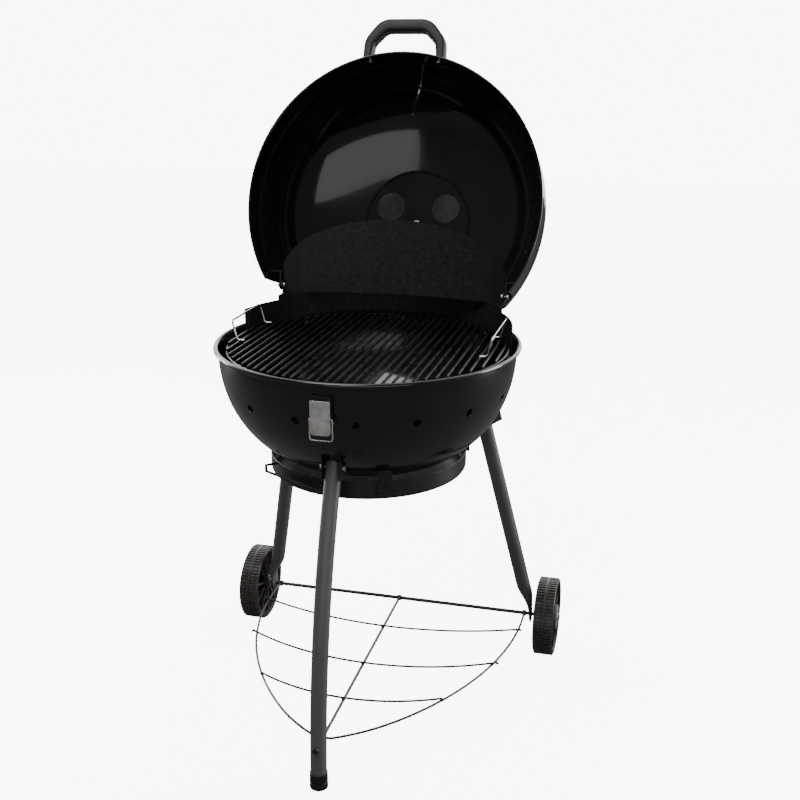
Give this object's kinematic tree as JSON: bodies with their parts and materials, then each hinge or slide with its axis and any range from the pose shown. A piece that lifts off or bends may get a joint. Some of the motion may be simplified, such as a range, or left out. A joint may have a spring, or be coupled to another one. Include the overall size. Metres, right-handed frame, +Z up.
{
  "type": "kettle charcoal grill",
  "caption": "Round kettle charcoal grill on three legs with two wheels, hinged dome lid, rear shield, wire grates, front latch, twist-off ash pan and wire shelf.",
  "frame": {"origin": "on the ground, at the middle of the grill's outer box with the lid open", "axes": "+Z up, +X to the grill's right as seen from the front, the front with the latch faces -Y"},
  "size_m": [0.727, 0.7992, 1.3319],
  "materials": {
    "enamel": "glossy porcelain enamel",
    "matte_black": "matte black paint",
    "zinc": "zinc plated",
    "grate_black": "satin black enamel",
    "chrome": "bright",
    "leg_grey": "satin dark grey powder coat",
    "black_plastic": "fine grain",
    "shelf_black": "satin black powder coat",
    "dark_screw": "blackened",
    "dial_white": "matt",
    "lens_glass": "clear",
    "damper_black": "satin",
    "latch_steel": "brushed nickel",
    "wheel_plastic": "moulded",
    "hub_grey": "moulded grey",
    "pan_black": "satin black"
  },
  "bodies": {
    "frame": {"bowl": "enamel", "rear_shield": "matte_black", "shield_band": "matte_black", "shield_bolts": "zinc", "grate_rests": "matte_black", "cooking_grate": "grate_black", "cooking_grate_ring": "grate_black", "charcoal_grate_ring": "grate_black", "grate_handle_left": "chrome", "grate_handle_right": "chrome", "charcoal_grate": "grate_black", "leg_front": "leg_grey", "leg_left": "leg_grey", "leg_right": "leg_grey", "leg_brackets": "matte_black", "leg_bolts": "zinc", "foot_cap": "black_plastic", "axle": "shelf_black", "axle_nuts": "zinc", "shelf_rim": "shelf_black", "shelf_wires": "shelf_black", "shelf_bar": "shelf_black", "shelf_screw": "dark_screw", "latch_base": "matte_black", "latch_rivets": "dark_screw", "pan_catches": "matte_black", "hinge_bolts": "zinc"},
    "lid": {"lid_shell": "enamel", "lid_ears": "matte_black", "lid_handle": "black_plastic", "handle_screws": "zinc", "lid_catch": "matte_black", "thermometer_bezel": "chrome", "thermometer_dial": "dial_white", "thermometer_lens": "lens_glass", "thermometer_stem": "chrome", "damper_rivet": "zinc"},
    "damper": {"lid_damper": "damper_black"},
    "latch_lever": {"latch_lever": "latch_steel"},
    "latch_bail": {"latch_bail": "latch_steel"},
    "wheel_left": {"wheel_left": "wheel_plastic", "hub_cap_left": "hub_grey"},
    "wheel_right": {"wheel_right": "wheel_plastic", "hub_cap_right": "hub_grey"},
    "ash_pan": {"ash_pan": "pan_black", "pan_handle": "matte_black"}
  },
  "joints": [
    {"name": "lid_hinge", "type": "hinge", "parent": "frame", "child": "lid", "pos_m": [0, 0.13491, 0.808], "axis": [1, 0, 0], "range_deg": [0, 108.8]},
    {"name": "damper_turn", "type": "hinge", "parent": "lid", "child": "damper", "pos_m": [0, 0.35672, 0.90996], "axis": [0, 0.9466, -0.3223], "range_deg": [0, 60]},
    {"name": "latch_lever", "type": "hinge", "parent": "frame", "child": "latch_lever", "pos_m": [0, -0.32209, 0.714], "axis": [-1, 0, 0], "range_deg": [0, 110]},
    {"name": "latch_bail", "type": "hinge", "parent": "latch_lever", "child": "latch_bail", "pos_m": [0, -0.32209, 0.686], "axis": [-1, 0, 0], "range_deg": [0, 60]},
    {"name": "wheel_left", "type": "hinge", "parent": "frame", "child": "wheel_left", "pos_m": [-0.335, 0.20391, 0.084], "axis": [1, 0, 0], "continuous": true},
    {"name": "wheel_right", "type": "hinge", "parent": "frame", "child": "wheel_right", "pos_m": [0.335, 0.20391, 0.084], "axis": [1, 0, 0], "continuous": true},
    {"name": "ash_pan_twist", "type": "hinge", "parent": "frame", "child": "ash_pan", "pos_m": [0, -0.03309, 0.517], "axis": [0, 0, -1], "range_deg": [0, 20]}
  ]
}
